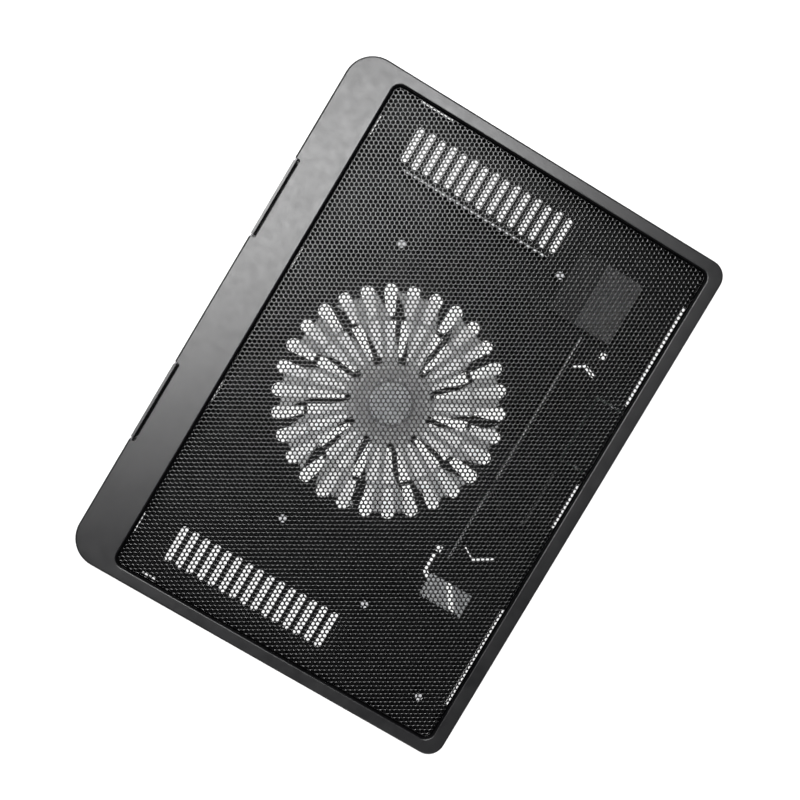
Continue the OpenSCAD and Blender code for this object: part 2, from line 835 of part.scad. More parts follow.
module usb_socket_left() { usb_socket(-1); }
module usb_socket_right() { usb_socket(1); }

module usb_tongues() {
    y0 = socket_back - socket_d + socket_block_d;
    color([0.9, 0.9, 0.9]) for (s = [-1, 1])
        translate([board_x + s * socket_x - tongue_w / 2, y0, socket_z + socket_h / 2 - 0.1])
            cube([tongue_w, socket_back - 1.4 - y0, tongue_t]);
}

// Black cap over the sockets that stands on the board
module board_cover() {
    half = board_w / 2 - cover_inset;
    color([0.07, 0.07, 0.075]) {
        translate([board_x - half, board_y0 - 0.8, cover_z]) cube([2 * half, cover_d, cover_t]);
        for (x = [board_x - half, board_x + half - cover_t])
            translate([x, cover_leg_y, socket_z])
                cube([cover_t, cover_leg_d, cover_z - socket_z + cover_t / 2]);
    }
}

// Two wires side by side, from the motor board along a bar, over the trough, to the socket board
function on_bar(r) = [r * cos(lead_angle), fan_y + r * sin(lead_angle), lead_z];
lead_route = [on_bar(board_r + 1), on_bar(68), on_bar(71), [8.6, 70.5, 7.4], [10.5, 72.6, 12.4],
    [lead_over_x, 74.5, lead_over_z], [14, 76.5, lead_over_z], [29.5, 93.5, lead_over_z], [30.4, 96, 13.2],
    [29, 99, 10.6], [25, 103.5, 8], [20, 105.8, 7.5], [-16.5, 105.8, 7.5], [-18.5, 105.8, 7.9],
    [-20.6, 105.8, 9.2], [-22, 105.8, 9.65], [-27, 105.8, 9.65]];

module fan_lead() {
    color([0.15, 0.15, 0.16]) for (s = [-1, 1])
        translate([s * lead_pitch, -s * lead_pitch * 0.6, 0]) swept_tube(lead_route, lead_r, 8);
}

bottom_shell();
top_frame();
mesh_sheet();
case_screws();
rubber_feet();
stopper_left();
stopper_right();
stopper_pin_left();
stopper_pin_right();
foot_left();
foot_right();
foot_tip_left();
foot_tip_right();
foot_pin_left();
foot_pin_right();
fan_base();
fan_screws();
bearing_sleeve();
stator_core();
stator_windings();
fan_board();
fan_rotor();
fan_shaft();
magnet_ring();
rotor_yoke();
shaft_clip();
hub_cap();
usb_board();
usb_socket_left();
usb_socket_right();
usb_tongues();
board_screws();
board_cover();
window_panes();
fan_lead();
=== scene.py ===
"""Looks of the laptop cooling pad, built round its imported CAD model. Metres, +X right, +Y back, +Z up."""
import json
import math

import bmesh
import bpy
import numpy as np
from mathutils import Matrix, Vector

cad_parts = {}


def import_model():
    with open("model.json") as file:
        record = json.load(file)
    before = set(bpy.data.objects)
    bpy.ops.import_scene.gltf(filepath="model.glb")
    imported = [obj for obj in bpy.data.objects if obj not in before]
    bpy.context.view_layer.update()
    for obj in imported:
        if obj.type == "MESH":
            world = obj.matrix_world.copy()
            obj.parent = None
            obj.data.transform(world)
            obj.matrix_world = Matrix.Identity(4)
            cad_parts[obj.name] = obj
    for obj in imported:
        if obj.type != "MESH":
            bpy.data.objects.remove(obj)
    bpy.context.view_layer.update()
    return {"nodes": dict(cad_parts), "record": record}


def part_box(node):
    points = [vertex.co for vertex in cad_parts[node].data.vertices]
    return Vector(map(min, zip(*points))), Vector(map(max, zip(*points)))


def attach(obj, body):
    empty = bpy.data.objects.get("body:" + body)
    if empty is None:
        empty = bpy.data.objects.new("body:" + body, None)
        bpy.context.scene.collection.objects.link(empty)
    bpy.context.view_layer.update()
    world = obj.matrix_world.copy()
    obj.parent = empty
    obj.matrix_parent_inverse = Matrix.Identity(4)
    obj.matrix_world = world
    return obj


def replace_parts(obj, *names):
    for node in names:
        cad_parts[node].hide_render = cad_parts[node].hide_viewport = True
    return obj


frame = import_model()

MM = 0.001

# ---------- sizes read from the frame ----------

frame_low, frame_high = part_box("top_frame")
sheet_low, sheet_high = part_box("mesh_sheet")
stopper_low, stopper_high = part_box("stopper_left")
socket_boxes = [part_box("usb_socket_left"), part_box("usb_socket_right")]

PAD_HALF_W = frame_high.x
PAD_HALF_D = frame_high.y
TOP_Z = frame_high.z
FRONT_R = 18.5 * MM
BACK_R = 10.5 * MM
PARTING_Z = 14 * MM
WALL = 2 * MM
CORNER_STEPS = 14

# The sheet: a flat top with a rim folded down and out, under the frame's lip
SHEET_T = 0.8 * MM
SHEET_TOP = sheet_high.z
FLANGE_W = 2.9 * MM
LIP_LAP = 1.5 * MM
SHEET_R = 4.6 * MM
OPEN_R = 6 * MM

FAN_CENTRE = Vector((0, -5.5 * MM, 0))


# ---------- small helpers ----------

def mesh_object(name, verts, faces, smooth=True):
    mesh = bpy.data.meshes.new(name)
    mesh.from_pydata([tuple(v) for v in verts], [], [tuple(f) for f in faces])
    mesh.polygons.foreach_set("use_smooth", [smooth] * len(mesh.polygons))
    mesh.update()
    obj = bpy.data.objects.new(name, mesh)
    bpy.context.scene.collection.objects.link(obj)
    return obj


def dress(obj, material):
    obj.data.materials.clear()
    obj.data.materials.append(material)
    return obj


def rounded_rect(x0, y0, x1, y1, radii, steps=CORNER_STEPS):
    """Counter-clockwise outline from the front left corner, with a radius for each corner in that order."""
    centres = [(x0 + radii[0], y0 + radii[0]), (x1 - radii[1], y0 + radii[1]),
               (x1 - radii[2], y1 - radii[2]), (x0 + radii[3], y1 - radii[3])]
    points = []
    for corner, ((cx, cy), r) in enumerate(zip(centres, radii)):
        start = math.pi + corner * math.pi / 2
        for i in range(steps + 1):
            a = start + i / steps * math.pi / 2
            points.append((cx + r * math.cos(a), cy + r * math.sin(a)))
    return points


def ring_loft(name, rings):
    """Closed band of quads through rings of equal length, the last joined to the first."""
    n = len(rings[0])
    verts = [p for ring in rings for p in ring]
    faces = []
    for k in range(len(rings)):
        a, b = k * n, (k + 1) % len(rings) * n
        faces += [(a + i, a + (i + 1) % n, b + (i + 1) % n, b + i) for i in range(n)]
    obj = mesh_object(name, verts, faces)
    outward(obj)
    return obj


def outward(obj):
    bm = bmesh.new()
    bm.from_mesh(obj.data)
    bmesh.ops.recalc_face_normals(bm, faces=bm.faces)
    bm.to_mesh(obj.data)
    bm.free()


def quarter(steps, r):
    """Points (across, down) of a quarter round from the top flat to the side."""
    angles = [i / steps * math.pi / 2 for i in range(steps + 1)]
    return [(r * math.sin(a), r * (1 - math.cos(a))) for a in angles]


def box_object(name, low, high):
    x0, y0, z0 = low
    x1, y1, z1 = high
    verts = [(x, y, z) for z in (z0, z1) for x, y in ((x0, y0), (x1, y0), (x1, y1), (x0, y1))]
    faces = [(3, 2, 1, 0), (4, 5, 6, 7), (0, 1, 5, 4), (1, 2, 6, 5), (2, 3, 7, 6), (3, 0, 4, 7)]
    return mesh_object(name, verts, faces, smooth=False)


def prism(name, outline, z0, z1):
    n = len(outline)
    verts = [(x, y, z) for z in (z0, z1) for x, y in outline]
    faces = [tuple(range(n))[::-1], tuple(range(n, 2 * n))]
    faces += [(i, (i + 1) % n, n + (i + 1) % n, n + i) for i in range(n)]
    return mesh_object(name, verts, faces, smooth=False)


def combine(obj, other, operation):
    """Cuts or joins other into obj, then drops other."""
    modifier = obj.modifiers.new("combine", "BOOLEAN")
    modifier.operation = operation
    modifier.solver = "EXACT"
    modifier.object = other
    bake(obj)
    bpy.data.objects.remove(other)


def bake(obj):
    """Turns the modifiers of obj into its mesh."""
    mesh = bpy.data.meshes.new_from_object(obj.evaluated_get(bpy.context.evaluated_depsgraph_get()))
    obj.modifiers.clear()
    obj.data = mesh


def soften(obj, width, segments=3, angle=40):
    """Rounded edges with even shading on the flats."""
    bevel = obj.modifiers.new("soft_edges", "BEVEL")
    bevel.width = width
    bevel.segments = segments
    bevel.limit_method = "ANGLE"
    bevel.angle_limit = math.radians(angle)
    obj.modifiers.new("flats", "WEIGHTED_NORMAL").keep_sharp = True


# ---------- materials ----------

# Where the tray is coloured lighter than its darkened black: painted highlights on the tops of its ribs and
# posts, its own plain black on its underside, and a painted sheen on the roof of the left foot's pocket. These
# are colours laid on by place
RIB_TOPS = (20.9 * MM, 21.1 * MM)
RIB_TOP_PAINTED_HIGHLIGHT = (0.5, 0.5, 0.51)
POST_TOPS = (23.4 * MM, 23.7 * MM)
POST_TOP_PAINTED_HIGHLIGHT = (0.3, 0.3, 0.31)
UNDERSIDE = (1.0 * MM, 2.1 * MM)
UNDERSIDE_BLACK = (0.012, 0.012, 0.0125)
POCKET_X = (-141 * MM, -99.5 * MM)
POCKET_Y = (47.5 * MM, 92.5 * MM)
POCKET_STEP_Y = 67 * MM
POCKET_Z = (13.8 * MM, 14.2 * MM)
POCKET_PAINTED_SHEEN_BACK = (0.07, 0.07, 0.073)
POCKET_PAINTED_SHEEN_FRONT = (0.02, 0.02, 0.021)

# The window's panes: the line of the slot between them, and how milky each pane is
PANE_SPLIT = 29.8 * MM
PANE_SLOPE = 0.7
PANE_FRONT_ALPHA = 0.64
PANE_BACK_ALPHA = 0.8

# The fan's frosted plastic: how milky its faces are, and how much and how far light scatters in it
BLADE_ALPHA = 0.3
BLADE_MILK = 0.85
BLADE_SCATTER = 1.5 * MM

# The rotor's steel yoke shows grey through the hub. The darker ring is a guess, made by colour alone
YOKE_R = 22 * MM
YOKE_SEEN = (0.6, 0.6, 0.61)
YOKE_RING = (8.5 * MM, 14.5 * MM)
YOKE_RING_GREY = (0.2, 0.2, 0.21)
YOKE_RING_SEEN = (0.3, 0.3, 0.31)


class Shader:
    """A Principled material whose textures lie in object space, so they stay on the object."""

    def __init__(self, name, colour, roughness, metallic=0.0, specular=0.5):
        self.material = bpy.data.materials.new(name)
        self.material.use_nodes = True
        self.tree = self.material.node_tree
        self.bsdf = self.tree.nodes["Principled BSDF"]
        self.bsdf.inputs["Base Color"].default_value = (*colour, 1)
        self.bsdf.inputs["Roughness"].default_value = roughness
        self.bsdf.inputs["Metallic"].default_value = metallic
        self.bsdf.inputs["Specular IOR Level"].default_value = specular
        self.coords = self.add("ShaderNodeTexCoord").outputs["Object"]
        self.normal = None

    def add(self, kind, **settings):
        node = self.tree.nodes.new(kind)
        for key, value in settings.items():
            if key in node.inputs:
                node.inputs[key].default_value = value
            else:
                setattr(node, key, value)
        return node

    def link(self, out, to):
        self.tree.links.new(out, to)

    def noise(self, scale, detail=3.0, roughness=0.5, stretch=None):
        node = self.add("ShaderNodeTexNoise", Scale=scale, Detail=detail, Roughness=roughness)
        source = self.coords
        if stretch:
            mapping = self.add("ShaderNodeMapping")
            mapping.inputs["Scale"].default_value = stretch
            self.link(source, mapping.inputs["Vector"])
            source = mapping.outputs["Vector"]
        self.link(source, node.inputs["Vector"])
        return node.outputs["Fac"]

    def ramp(self, fac, low, high, start=0.35, end=0.65):
        """Maps a texture to a value between low and high."""
        node = self.add("ShaderNodeMapRange")
        node.inputs["From Min"].default_value = start
        node.inputs["From Max"].default_value = end
        node.inputs["To Min"].default_value = low
        node.inputs["To Max"].default_value = high
        self.link(fac, node.inputs["Value"])
        return node.outputs["Result"]

    def vary_roughness(self, fac, low, high):
        self.link(self.ramp(fac, low, high), self.bsdf.inputs["Roughness"])

    def vary_colour(self, fac, dark, light):
        node = self.add("ShaderNodeMix", data_type="RGBA")
        node.inputs[6].default_value = (*dark, 1)
        node.inputs[7].default_value = (*light, 1)
        self.link(self.ramp(fac, 0, 1), node.inputs["Factor"])
        self.link(node.outputs[2], self.bsdf.inputs["Base Color"])

    def math(self, operation, a, b):
        node = self.add("ShaderNodeMath", operation=operation)
        for value, socket in zip((a, b), node.inputs):
            if hasattr(value, "links"):
                self.link(value, socket)
            else:
                socket.default_value = value
        return node.outputs["Value"]

    def within(self, **limits):
        """1 inside the limits x, y and z, each (low, high) in metres, and 0 outside."""
        split = self.add("ShaderNodeSeparateXYZ")
        self.link(self.coords, split.inputs["Vector"])
        mask = 1.0
        for axis, (low, high) in limits.items():
            above = self.math("GREATER_THAN", split.outputs[axis.upper()], low)
            below = self.math("LESS_THAN", split.outputs[axis.upper()], high)
            mask = self.math("MULTIPLY", mask, self.math("MULTIPLY", above, below))
        return mask

    def ring(self, centre, low, high):
        """1 between two distances in metres from the upright line through centre, and 0 elsewhere."""
        split = self.add("ShaderNodeSeparateXYZ")
        self.link(self.coords, split.inputs["Vector"])
        x = self.math("SUBTRACT", split.outputs["X"], centre.x)
        y = self.math("SUBTRACT", split.outputs["Y"], centre.y)
        square = self.math("ADD", self.math("MULTIPLY", x, x), self.math("MULTIPLY", y, y))
        outside = self.math("GREATER_THAN", square, low ** 2)
        inside = self.math("LESS_THAN", square, high ** 2)
        return self.math("MULTIPLY", outside, inside)

    def patch(self, mask, colour):
        """Lays another colour over the base colour where the mask is 1."""
        node = self.add("ShaderNodeMix", data_type="RGBA")
        socket = self.bsdf.inputs["Base Color"]
        self.link(mask, node.inputs["Factor"])
        self.link(socket.links[0].from_socket, node.inputs[6])
        node.inputs[7].default_value = (*colour, 1)
        self.link(node.outputs[2], socket)

    def bump(self, fac, depth, strength=1.0):
        node = self.add("ShaderNodeBump", Strength=strength, Distance=depth)
        self.link(fac, node.inputs["Height"])
        if self.normal is not None:
            self.link(self.normal, node.inputs["Normal"])
        self.normal = node.outputs["Normal"]
        self.link(self.normal, self.bsdf.inputs["Normal"])


def satin_plastic():
    s = Shader("frame_plastic", (0.004, 0.004, 0.0045), 0.34, specular=0.27)
    s.vary_roughness(s.noise(160, 6, 0.65), 0.315, 0.365)
    s.vary_colour(s.noise(60, 5), (0.002, 0.002, 0.0025), (0.005, 0.005, 0.0055))
    s.bump(s.noise(2400, 2), 0.03 * MM, 0.5)
    return s.material


def tray_plastic():
    # Its black is darker than the plain black of its underside: painted shade, so that the inside reads black
    # through the holes
    s = Shader("tray_plastic", (0.002, 0.002, 0.0022), 0.5, specular=0.08)
    s.vary_roughness(s.noise(40, 4), 0.42, 0.56)
    s.vary_colour(s.noise(90, 5), (0.0012, 0.0012, 0.0014), (0.0026, 0.0026, 0.0029))
    # Painted highlights on the tops of the rib and the posts
    s.patch(s.within(z=RIB_TOPS), RIB_TOP_PAINTED_HIGHLIGHT)
    s.patch(s.within(z=POST_TOPS), POST_TOP_PAINTED_HIGHLIGHT)
    s.patch(s.within(z=UNDERSIDE), UNDERSIDE_BLACK)
    # Painted sheen on the roof of the left foot's pocket, brighter on its back half
    s.patch(s.within(x=POCKET_X, y=POCKET_Y, z=POCKET_Z), POCKET_PAINTED_SHEEN_FRONT)
    s.patch(s.within(x=POCKET_X, y=(POCKET_STEP_Y, POCKET_Y[1]), z=POCKET_Z), POCKET_PAINTED_SHEEN_BACK)
    s.bump(s.noise(2600, 2), 0.03 * MM, 0.4)
    return s.material


def sheet_paint():
    s = Shader("sheet_paint", (0.004, 0.004, 0.0045), 0.09, specular=0.28)
    s.vary_roughness(s.noise(120, 4), 0.07, 0.12)
    s.vary_colour(s.noise(400, 3), (0.001, 0.001, 0.0012), (0.003, 0.003, 0.0033))
    s.bump(s.noise(900, 3), 0.01 * MM, 0.25)
    return s.material


def frosted(name, low, high):
    """Milky plastic; its see-through share is set by the caller."""
    s = Shader(name, high, 0.3)
    s.vary_roughness(s.noise(150, 3), 0.24, 0.36)
    s.vary_colour(s.noise(300, 3), low, high)
    s.bump(s.noise(500, 2), 0.03 * MM, 0.3)
    return s


def blade_plastic():
    s = frosted("blade_plastic", (0.84, 0.85, 0.86), (0.92, 0.93, 0.94))
    s.patch(s.ring(FAN_CENTRE, 0, YOKE_R), YOKE_SEEN)
    s.patch(s.ring(FAN_CENTRE, *YOKE_RING), YOKE_RING_SEEN)
    s.bsdf.inputs["Alpha"].default_value = BLADE_ALPHA
    s.bsdf.inputs["Subsurface Weight"].default_value = BLADE_MILK
    s.bsdf.inputs["Subsurface Radius"].default_value = (1, 1, 1)
    s.bsdf.inputs["Subsurface Scale"].default_value = BLADE_SCATTER
    return s.material


def pane_plastic():
    """Thicker behind the window's slanted slot than in front of it."""
    s = frosted("pane_plastic", (0.3, 0.31, 0.32), (0.36, 0.37, 0.38))
    split = s.add("ShaderNodeSeparateXYZ")
    s.link(s.coords, split.inputs["Vector"])
    along = s.math("MULTIPLY", split.outputs["X"], PANE_SLOPE)
    behind = s.math("GREATER_THAN", s.math("SUBTRACT", split.outputs["Y"], along), PANE_SPLIT)
    s.link(s.ramp(behind, PANE_FRONT_ALPHA, PANE_BACK_ALPHA, 0, 1), s.bsdf.inputs["Alpha"])
    return s.material


def brushed_steel():
    colour = (0.46, 0.46, 0.48)
    s = Shader("steel", colour, 0.28, metallic=1.0)
    brush = s.noise(300, 3, stretch=(0.08, 1, 1))
    s.vary_roughness(brush, 0.2, 0.38)
    s.vary_colour(s.noise(200, 3), tuple(0.85 * c for c in colour), colour)
    s.patch(s.ring(FAN_CENTRE, *YOKE_RING), YOKE_RING_GREY)
    s.bump(brush, 0.02 * MM, 0.2)
    return s.material


def rubber():
    s = Shader("foot_rubber", (0.03, 0.03, 0.03), 0.8, specular=0.3)
    s.vary_roughness(s.noise(200, 4), 0.7, 0.9)
    s.vary_colour(s.noise(120, 4), (0.02, 0.02, 0.02), (0.04, 0.04, 0.04))
    s.bump(s.noise(1500, 3), 0.05 * MM, 0.5)
    return s.material


def moulded(name, colour, low, high):
    """Moulded plastic, lacquer or foil with a slight unevenness, and a roughness between low and high."""
    s = Shader(name, colour, (low + high) / 2)
    s.vary_roughness(s.noise(80, 4), low, high)
    s.vary_colour(s.noise(150, 4), tuple(0.8 * c for c in colour), colour)
    s.bump(s.noise(1200, 2), 0.02 * MM, 0.3)
    return s.material


def metal(name, colour, low, high):
    """Plain metal with a roughness between low and high."""
    s = Shader(name, colour, (low + high) / 2, metallic=1.0)
    s.vary_roughness(s.noise(250, 4), low, high)
    s.vary_colour(s.noise(180, 4), tuple(0.75 * c for c in colour), colour)
    s.bump(s.noise(900, 3), 0.02 * MM, 0.3)
    return s.material


def slot_materials():
    return {
        "tray_plastic": tray_plastic(),
        "frame_plastic": satin_plastic(),
        "sheet_paint": sheet_paint(),
        "steel": brushed_steel(),
        "screw_steel": metal("screw_steel", (0.1, 0.1, 0.105), 0.3, 0.5),
        "socket_steel": metal("socket_steel", (0.62, 0.62, 0.64), 0.15, 0.3),
        "foot_rubber": rubber(),
        "blade_plastic": blade_plastic(),
        "pane_plastic": pane_plastic(),
        "motor_plastic": moulded("motor_plastic", (0.03, 0.03, 0.032), 0.4, 0.6),
        "bronze": metal("bronze", (0.5, 0.33, 0.17), 0.35, 0.55),
        "lamination": metal("lamination", (0.3, 0.3, 0.31), 0.35, 0.5),
        "copper_wire": metal("copper_wire", (0.6, 0.25, 0.1), 0.25, 0.4),
        "board_green": moulded("board_green", (0.003, 0.012, 0.008), 0.3, 0.45),
        "magnet": metal("magnet", (0.08, 0.08, 0.085), 0.5, 0.7),
        "cap_foil": moulded("cap_foil", (0.32, 0.33, 0.34), 0.3, 0.4),
        "tongue_plastic": moulded("tongue_plastic", (0.7, 0.7, 0.68), 0.3, 0.45),
        "lead_sleeve": moulded("lead_sleeve", (0.004, 0.004, 0.004), 0.4, 0.55),
    }


# ---------- perforated sheet ----------

# The lattice of holes: its two pitches, one of its holes, and its turn against the frame
HOLE_PITCH = 2.8634 * MM
ROW_PITCH = 2.4920 * MM
LATTICE_AT = np.array((0.483, 4.244)) * MM
LATTICE_TURN = math.radians(0.137)
ROWS_EACH_WAY = 60
COLUMNS_EACH_WAY = 70

# One hole with its rounded rim, in a web that is slightly domed
HOLE_R = 1.05 * MM
HOLE_SIDES = 12
RIM_R = 0.1 * MM
DOME_DROP = 0.1 * MM
DOME_TILT = math.radians(32)
SHEET_TILES = 8

# The sheet's sloped rim
FOLD_R = 0.3 * MM
FOLD_STEPS = 5
FOLD_STEPS_KEPT = 4
SLOPE_W = 1.1 * MM
SLOPE_FOOT = 0.3 * MM
SLOPE_BACK = 0.2 * MM

plate_low = np.array((sheet_low.x, sheet_low.y)) + FLANGE_W
plate_high = np.array((sheet_high.x, sheet_high.y)) - FLANGE_W


def hole_centres():
    """Centres of the holes, row by row, as far as the flat of the sheet reaches."""
    rows = np.arange(-ROWS_EACH_WAY, ROWS_EACH_WAY + 1)
    columns = np.arange(-COLUMNS_EACH_WAY, COLUMNS_EACH_WAY + 1)
    row, column = np.meshgrid(rows, columns, indexing="ij")
    u = (column + 0.5 * (row % 2)) * HOLE_PITCH + LATTICE_AT[0]
    v = row * ROW_PITCH + LATTICE_AT[1]
    x = u * math.cos(LATTICE_TURN) - v * math.sin(LATTICE_TURN)
    y = u * math.sin(LATTICE_TURN) + v * math.cos(LATTICE_TURN)
    centres = np.stack([x.ravel(), y.ravel()], 1)
    margin = 0.5 * HOLE_PITCH
    inside = np.all((centres > plate_low - margin) & (centres < plate_high + margin), axis=1)
    return centres[inside]


def onto_flat(xy):
    """Moves points that lie outside the sheet's flat top to its nearest edge."""
    core = SHEET_R - FOLD_R
    near = np.clip(xy, plate_low + FOLD_R + core, plate_high - FOLD_R - core)
    away = xy - near
    length = np.maximum(np.linalg.norm(away, axis=-1, keepdims=True), 1e-9)
    return near + away * np.minimum(1, core / length)


def cell_profile():
    """Rings of one hexagonal cell from its edge to the hole and back below.

    Each ring is its radius at every corner, its height, and the tilt of its normal towards the hole.
    """
    angle = (np.arange(HOLE_SIDES) + 1) * 2 * math.pi / HOLE_SIDES
    hexagon = np.where(np.arange(HOLE_SIDES) % 2 == 0, HOLE_PITCH / math.sqrt(3), HOLE_PITCH / 2)
    hole = np.full(HOLE_SIDES, HOLE_R)
    down = -math.pi
    side = math.pi / 2
    edge = DOME_DROP + RIM_R
    rings = [(hexagon, 0, 0), (hole + RIM_R, -DOME_DROP, DOME_TILT), (hole + 0.3 * RIM_R, -0.6 * edge, 1.0),
             (hole, -edge, side), (hole, -SHEET_T, side), (hole, -SHEET_T, down), (hexagon, -SHEET_T, down)]
    return angle, rings


# The two rings at the hole's lower edge lie on each other, so the band between them has no faces
FLAT_BAND = 4


def sheet_tile(name, centres):
    """One part of the sheet, its webs slightly domed between the holes as the punch and the paint leave them."""
    angle, rings = cell_profile()
    across = np.stack([np.cos(angle), np.sin(angle)], 1)
    points = np.stack([across * r[:, None] for r, z, tilt in rings])
    heights = np.array([z for r, z, tilt in rings]) + SHEET_TOP
    tilts = np.array([tilt for r, z, tilt in rings])
    count = len(centres) * len(rings) * HOLE_SIDES
    verts = np.empty((len(centres), len(rings), HOLE_SIDES, 3))
    verts[..., :2] = onto_flat(points[None] + centres[:, None, None, :])
    verts[..., 2] = heights[None, :, None]
    normals = np.empty_like(verts)
    normals[..., :2] = -across[None, None] * np.sin(tilts)[None, :, None, None]
    normals[..., 2] = np.cos(tilts)[None, :, None]
    i = np.arange(HOLE_SIDES)
    j = (i + 1) % HOLE_SIDES
    bands = [k for k in range(len(rings) - 1) if k != FLAT_BAND]
    band = np.concatenate([np.stack([k * HOLE_SIDES + i, k * HOLE_SIDES + j, (k + 1) * HOLE_SIDES + j,
                                     (k + 1) * HOLE_SIDES + i], 1) for k in bands])
    starts = np.arange(len(centres)) * len(rings) * HOLE_SIDES
    quads = (band[None] + starts[:, None, None]).reshape(-1, 4)
    mesh = bpy.data.meshes.new(name)
    mesh.vertices.add(count)
    mesh.vertices.foreach_set("co", verts.astype(np.float32).ravel())
    mesh.loops.add(quads.size)
    mesh.loops.foreach_set("vertex_index", quads.astype(np.int32).ravel())
    mesh.polygons.add(len(quads))
    mesh.polygons.foreach_set("loop_start", np.arange(0, quads.size, 4, dtype=np.int32))
    mesh.update(calc_edges=True)
    mesh.polygons.foreach_set("use_smooth", np.ones(len(quads), dtype=bool))
    mesh.normals_split_custom_set_from_vertices(normals.reshape(-1, 3))
    obj = bpy.data.objects.new(name, mesh)
    bpy.context.scene.collection.objects.link(obj)
    return obj


def sheet_ring(grow, z):
    """Outline of the sheet's flat top grown by an amount, at a height."""
    r = SHEET_R + grow
    x0, y0 = plate_low - grow
    x1, y1 = plate_high + grow
    return [(x, y, z) for x, y in rounded_rect(x0, y0, x1, y1, (r, r, r, r))]


def sloped_rim():
    """The sheet's edge: rounded over, down a slope, and out under the frame's lip."""
    flange_top = sheet_low.z + SHEET_T
    turn = quarter(FOLD_STEPS, FOLD_R)[:FOLD_STEPS_KEPT]
    turn = [(across - FOLD_R, SHEET_TOP - down) for across, down in turn]
    slope = [(SLOPE_W, flange_top + SLOPE_FOOT), (SLOPE_W + SLOPE_FOOT, flange_top), (FLANGE_W, flange_top)]
    back = [(FLANGE_W, sheet_low.z), (SLOPE_W - SLOPE_BACK, sheet_low.z),
            (0, SHEET_TOP - SHEET_T - SLOPE_FOOT), (-FOLD_R, SHEET_TOP - SHEET_T)]
    obj = ring_loft("sheet_rim", [sheet_ring(grow, z) for grow, z in turn + slope + back])
    obj.modifiers.new("flats", "WEIGHTED_NORMAL")
    return obj


def perforated_sheet(material):
    centres = hole_centres()
    for tile, part in enumerate(np.array_split(centres, SHEET_TILES)):
        obj = dress(sheet_tile(f"perforated_sheet_{tile + 1}", part), material)
        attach(obj, "base")
        if tile == 0:
            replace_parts(obj, "mesh_sheet")
    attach(dress(sloped_rim(), material), "base")


# ---------- top frame ----------

# The moulding's rounded edges, and the small step in at its parting line
EDGE_R = 1.1 * MM
LIP_R = 1.0 * MM
LIP_T = 1.6 * MM
ROUND_STEPS = 5
PARTING_STEP = 0.3 * MM
SMOOTH_BELOW = math.radians(38)

# The cutters run past the frame's faces by this much
CUT_PAST = 3 * MM

# The stoppers' blocks and the notches in them
STOPPER_X = (stopper_low.x + stopper_high.x) / 2
NOTCH_HALF = 27 * MM
NOTCH_D = 3.8 * MM
NOTCH_R = 1.4 * MM
NOTCH_STEPS = 6
POCKET_FLOOR = 0.45 * MM
BLOCK_WALL = 3 * MM
BLOCK_BACK = 2.3 * MM
BLOCK_SET_BACK = 0.02 * MM
BLOCK_LAP = 0.4 * MM
BLOCK_LOW = stopper_low.z - 0.8 * MM

# The socket windows in the back wall
WINDOW_GAP = 0.3 * MM
WINDOW_D = 6 * MM

# The hooks, the rib and the screw bosses under the front strip
HOOK_X = (-141.6 * MM, -47.7 * MM, 47.7 * MM, 141.6 * MM)
HOOK_Y = -104.9 * MM
HOOK_HALF = 5 * MM
HOOK_T = 1.3 * MM
HOOK_TOE_D = 2.1 * MM
HOOK_TOE_T = 1.2 * MM
RIB_HALF = 163 * MM
RIB_Y = sheet_low.y + LIP_LAP - 5.2 * MM
RIB_T = 1.2 * MM
RIB_DROP = 4 * MM
BOSS_R = 3.4 * MM
BOSS_LOW = 8.1 * MM
BOSS_SIDES = 32
SCREW_X = (-120 * MM, -20 * MM, 20 * MM, 120 * MM)
SCREW_Y = -114 * MM


def pad_ring(inset, z):
    """The pad's outline drawn in by an amount, at a height."""
    w, d = PAD_HALF_W - inset, PAD_HALF_D - inset
    front, back = FRONT_R - inset, BACK_R - inset
    return [(x, y, z) for x, y in rounded_rect(-w, -d, w, d, (front, front, back, back))]


def opening_ring(grow, z):
    """Outline of the opening over the sheet grown by an amount, at a height."""
    r = OPEN_R + grow
    inset = LIP_LAP - grow
    outline = rounded_rect(sheet_low.x + inset, sheet_low.y + inset, sheet_high.x - inset,
                           sheet_high.y - inset, (r, r, r, r))
    return [(x, y, z) for x, y in outline]


def frame_skin():
    """Outer wall, rounded edge, flat top and the rounded lip round the opening."""
    lip_low = sheet_low.z + SHEET_T
    under = SHEET_TOP
    rings = [pad_ring(PARTING_STEP, PARTING_Z), pad_ring(0, PARTING_Z + PARTING_STEP)]
    rings += [pad_ring(EDGE_R - across, TOP_Z - down) for across, down in quarter(ROUND_STEPS, EDGE_R)[::-1]]
    rings += [opening_ring(LIP_R - across, TOP_Z - down) for across, down in quarter(ROUND_STEPS, LIP_R)]
    rings += [opening_ring(0, lip_low), opening_ring(LIP_T, lip_low), opening_ring(LIP_T, under)]
    rings += [pad_ring(WALL, under), pad_ring(WALL, PARTING_Z)]
    return ring_loft("frame_top", rings)


def stopper_blocks(obj):
    """A block for each stopper along the front edge, with the notch that the stopper lies in."""
    front = -PAD_HALF_D
    for x in (STOPPER_X, -STOPPER_X):
        half = NOTCH_HALF + BLOCK_WALL
        low = (x - half, front + BLOCK_SET_BACK, BLOCK_LOW)
        high = (x + half, front + NOTCH_D + BLOCK_BACK, SHEET_TOP + BLOCK_LAP)
        combine(obj, box_object("block", low, high), "UNION")
    for x in (STOPPER_X, -STOPPER_X):
        outline = rounded_rect(x - NOTCH_HALF, front - CUT_PAST, x + NOTCH_HALF, front + NOTCH_D,
                               (NOTCH_R, NOTCH_R, NOTCH_R, NOTCH_R), steps=NOTCH_STEPS)
        combine(obj, prism("notch", outline, BLOCK_LOW + POCKET_FLOOR, TOP_Z + CUT_PAST), "DIFFERENCE")


